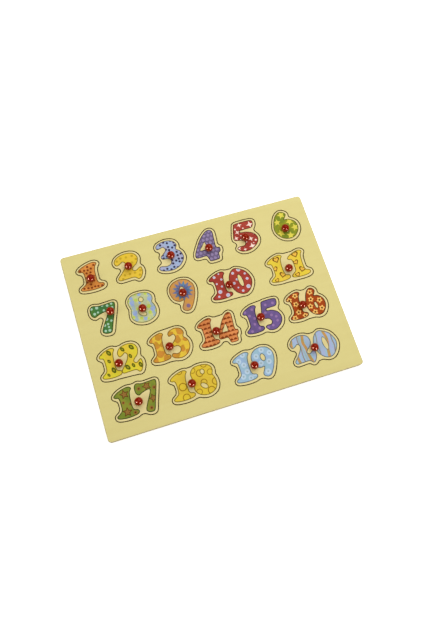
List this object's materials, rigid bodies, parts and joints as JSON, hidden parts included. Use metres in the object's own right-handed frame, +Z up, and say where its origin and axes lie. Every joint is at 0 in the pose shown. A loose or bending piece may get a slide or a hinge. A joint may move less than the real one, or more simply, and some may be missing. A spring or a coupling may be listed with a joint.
{
  "type": "wooden number puzzle",
  "caption": "Flat wooden board puzzle whose number-shaped pieces sit flush in sawn recesses and lift straight out by round knobs.",
  "frame": {"origin": "middle of the board's underside", "axes": "+X to the right along the rows of numbers, +Y up the board as it is read, +Z up out of the face"},
  "size_m": [0.3, 0.2198, 0.0182],
  "materials": {
    "board_wood": "satin khaki-yellow lacquer on light plywood",
    "backing_wood": "bare thin plywood",
    "tile_wood": "satin cream lacquer on light plywood",
    "number_print": "satin colour print on lacquered wood",
    "knob_plastic": "glossy dark red"
  },
  "bodies": {
    "board": {"top_sheet": "board_wood", "backing_sheet": "backing_wood"},
    "piece_01": {"tile_01": "tile_wood", "knob_01": "knob_plastic"},
    "piece_02": {"tile_02": "tile_wood", "knob_02": "knob_plastic"},
    "piece_03": {"tile_03": "tile_wood", "knob_03": "knob_plastic"},
    "piece_04": {"tile_04": "tile_wood", "knob_04": "knob_plastic"},
    "piece_05": {"tile_05": "tile_wood", "knob_05": "knob_plastic"},
    "piece_06": {"tile_06": "tile_wood", "knob_06": "knob_plastic"},
    "piece_07": {"tile_07": "tile_wood", "knob_07": "knob_plastic"},
    "piece_08": {"tile_08": "tile_wood", "knob_08": "knob_plastic"},
    "piece_09": {"tile_09": "tile_wood", "knob_09": "knob_plastic"},
    "piece_10": {"tile_10": "tile_wood", "knob_10": "knob_plastic"},
    "piece_11": {"tile_11": "tile_wood", "knob_11": "knob_plastic"},
    "piece_12": {"tile_12": "tile_wood", "knob_12": "knob_plastic"},
    "piece_13": {"tile_13": "tile_wood", "knob_13": "knob_plastic"},
    "piece_14": {"tile_14": "tile_wood", "knob_14": "knob_plastic"},
    "piece_15": {"tile_15": "tile_wood", "knob_15": "knob_plastic"},
    "piece_16": {"tile_16": "tile_wood", "knob_16": "knob_plastic"},
    "piece_17": {"tile_17": "tile_wood", "knob_17": "knob_plastic"},
    "piece_18": {"tile_18": "tile_wood", "knob_18": "knob_plastic"},
    "piece_19": {"tile_19": "tile_wood", "knob_19": "knob_plastic"},
    "piece_20": {"tile_20": "tile_wood", "knob_20": "knob_plastic"}
  },
  "joints": [
    {"name": "lift_01", "type": "slide", "parent": "board", "child": "piece_01", "axis": [0, 0, 1], "range_m": [0, 0.03]},
    {"name": "lift_02", "type": "slide", "parent": "board", "child": "piece_02", "axis": [0, 0, 1], "range_m": [0, 0.03]},
    {"name": "lift_03", "type": "slide", "parent": "board", "child": "piece_03", "axis": [0, 0, 1], "range_m": [0, 0.03]},
    {"name": "lift_04", "type": "slide", "parent": "board", "child": "piece_04", "axis": [0, 0, 1], "range_m": [0, 0.03]},
    {"name": "lift_05", "type": "slide", "parent": "board", "child": "piece_05", "axis": [0, 0, 1], "range_m": [0, 0.03]},
    {"name": "lift_06", "type": "slide", "parent": "board", "child": "piece_06", "axis": [0, 0, 1], "range_m": [0, 0.03]},
    {"name": "lift_07", "type": "slide", "parent": "board", "child": "piece_07", "axis": [0, 0, 1], "range_m": [0, 0.03]},
    {"name": "lift_08", "type": "slide", "parent": "board", "child": "piece_08", "axis": [0, 0, 1], "range_m": [0, 0.03]},
    {"name": "lift_09", "type": "slide", "parent": "board", "child": "piece_09", "axis": [0, 0, 1], "range_m": [0, 0.03]},
    {"name": "lift_10", "type": "slide", "parent": "board", "child": "piece_10", "axis": [0, 0, 1], "range_m": [0, 0.03]},
    {"name": "lift_11", "type": "slide", "parent": "board", "child": "piece_11", "axis": [0, 0, 1], "range_m": [0, 0.03]},
    {"name": "lift_12", "type": "slide", "parent": "board", "child": "piece_12", "axis": [0, 0, 1], "range_m": [0, 0.03]},
    {"name": "lift_13", "type": "slide", "parent": "board", "child": "piece_13", "axis": [0, 0, 1], "range_m": [0, 0.03]},
    {"name": "lift_14", "type": "slide", "parent": "board", "child": "piece_14", "axis": [0, 0, 1], "range_m": [0, 0.03]},
    {"name": "lift_15", "type": "slide", "parent": "board", "child": "piece_15", "axis": [0, 0, 1], "range_m": [0, 0.03]},
    {"name": "lift_16", "type": "slide", "parent": "board", "child": "piece_16", "axis": [0, 0, 1], "range_m": [0, 0.03]},
    {"name": "lift_17", "type": "slide", "parent": "board", "child": "piece_17", "axis": [0, 0, 1], "range_m": [0, 0.03]},
    {"name": "lift_18", "type": "slide", "parent": "board", "child": "piece_18", "axis": [0, 0, 1], "range_m": [0, 0.03]},
    {"name": "lift_19", "type": "slide", "parent": "board", "child": "piece_19", "axis": [0, 0, 1], "range_m": [0, 0.03]},
    {"name": "lift_20", "type": "slide", "parent": "board", "child": "piece_20", "axis": [0, 0, 1], "range_m": [0, 0.03]}
  ]
}
